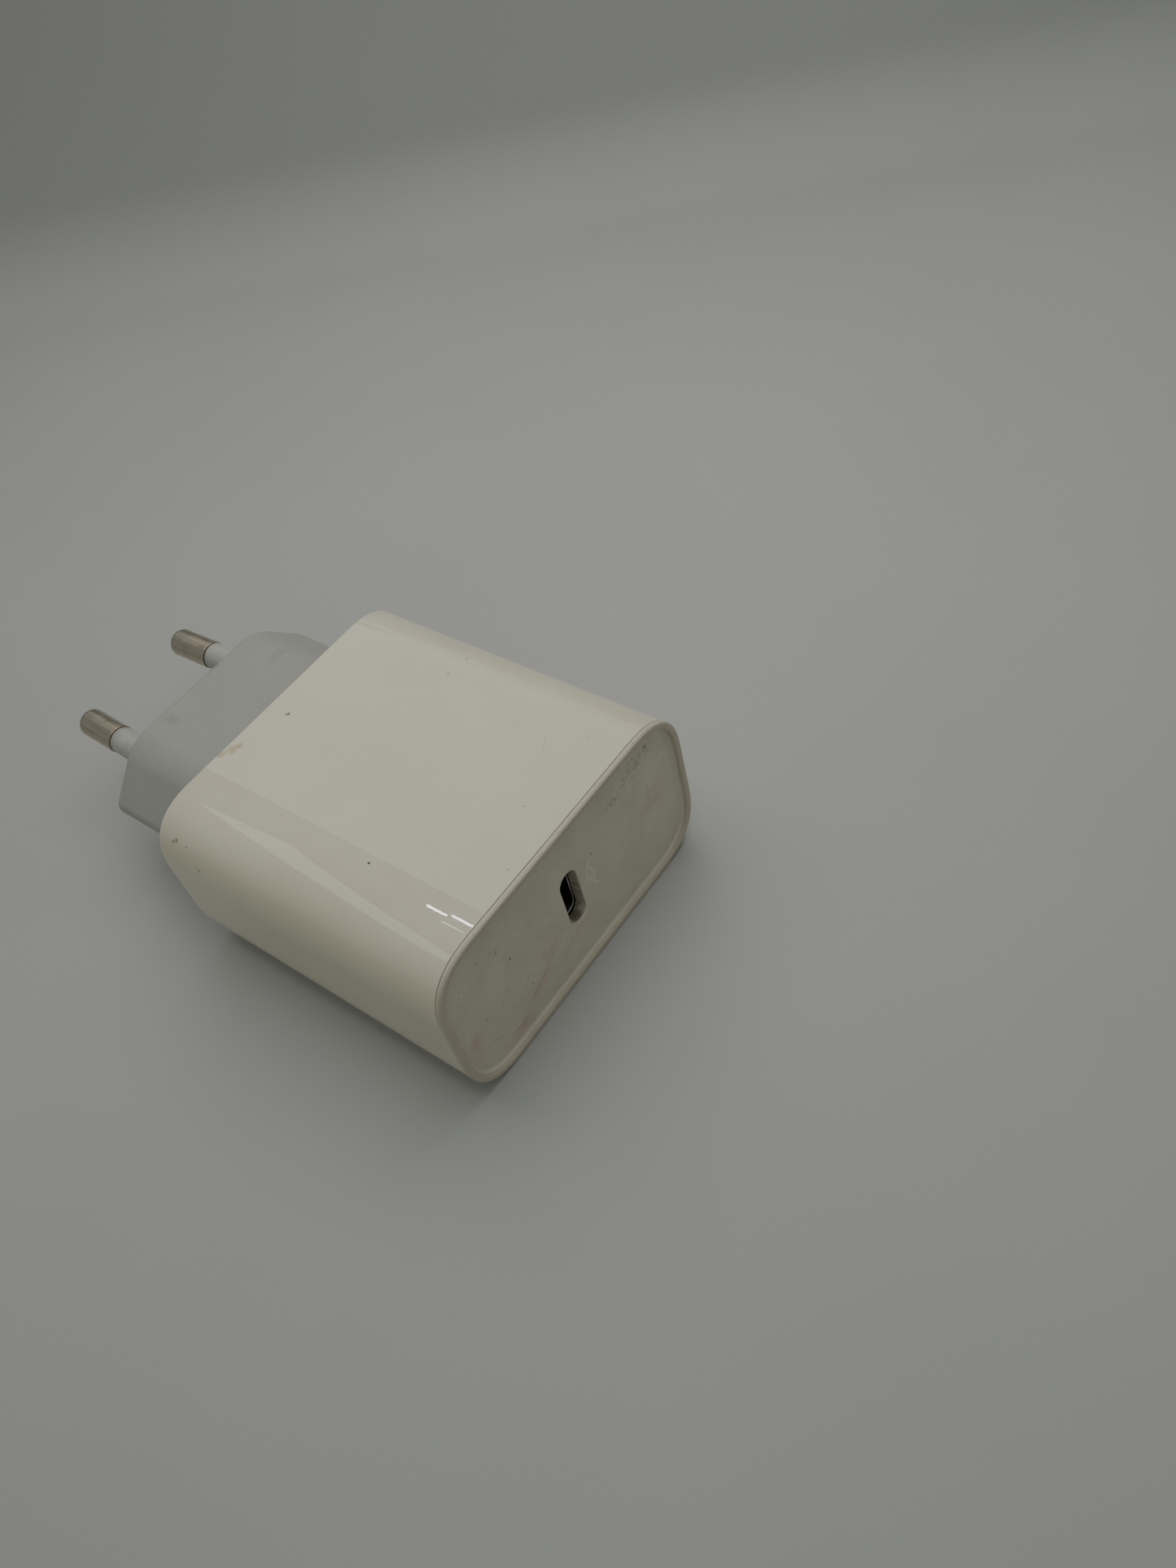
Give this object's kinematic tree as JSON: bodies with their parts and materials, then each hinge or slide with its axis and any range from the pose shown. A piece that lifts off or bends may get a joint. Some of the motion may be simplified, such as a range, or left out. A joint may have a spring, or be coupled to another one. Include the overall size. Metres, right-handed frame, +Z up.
{
  "type": "usb-c wall charger",
  "caption": "Rounded box wall charger with an upright USB-C port in its recessed front cover and a fixed round-pin mains plug at the rear.",
  "frame": {"origin": "on the surface the charger lies on, under the middle of its bounding box", "axes": "+X across the width, +Y from the USB-C port towards the pin tips, +Z up through the thickness"},
  "size_m": [0.0442, 0.0804, 0.0236],
  "materials": {
    "gloss_case": "warm white, polished",
    "matte_cover": "off-white, fine matte texture, soiled",
    "plug_grey": "cool light grey, satin",
    "pin_sleeve": "white, satin",
    "nickel": "nickel plated brass, lightly rubbed",
    "spring_bronze": "bright phosphor bronze strip",
    "socket_steel": "nickel plated stainless steel",
    "socket_black": "black moulded insulator",
    "board_green": "green solder mask on glass-epoxy board",
    "chip_black": "black epoxy moulding",
    "fuse_black": "black fuse cap",
    "thermistor_green": "dipped dark green coating",
    "film_yellow": "yellow moulded box",
    "disc_blue": "dipped blue coating",
    "can_sleeve": "dark shrink sleeve with bare aluminium top",
    "polymer_can": "bare drawn aluminium can",
    "ferrite": "ground ferrite",
    "bobbin_black": "black phenolic moulding",
    "winding_tape": "yellow polyester winding tape",
    "copper_wire": "enamelled copper wire",
    "spreader_metal": "rolled aluminium sheet",
    "pad_grey": "soft silicone gap pad",
    "barrier_film": "thin black insulating sheet"
  },
  "bodies": {
    "root": {"main_shell": "gloss_case", "front_cover": "matte_cover", "plug_housing": "plug_grey", "mains_pin_left": "nickel", "mains_pin_right": "nickel", "pin_sleeve_left": "pin_sleeve", "pin_sleeve_right": "pin_sleeve", "pin_contact_left": "spring_bronze", "pin_contact_right": "spring_bronze", "usb_socket_shell": "socket_steel", "usb_socket_tongue": "socket_black", "main_board": "board_green", "usb_board": "board_green", "port_controller_chip": "chip_black", "switching_controller_chip": "chip_black", "output_rectifier_chip": "chip_black", "feedback_optocoupler": "chip_black", "bridge_rectifier": "chip_black", "mains_fuse": "fuse_black", "inrush_thermistor": "thermistor_green", "input_film_capacitor": "film_yellow", "safety_capacitor": "disc_blue", "bulk_capacitor_front": "can_sleeve", "bulk_capacitor_rear": "can_sleeve", "output_capacitor_inner": "polymer_can", "output_capacitor_outer": "polymer_can", "choke_core": "ferrite", "choke_winding": "copper_wire", "transformer_core_lower": "ferrite", "transformer_core_upper": "ferrite", "transformer_bobbin": "bobbin_black", "transformer_winding": "winding_tape", "heat_spreader": "spreader_metal", "thermal_pad": "pad_grey", "insulation_barrier": "barrier_film"}
  },
  "joints": []
}
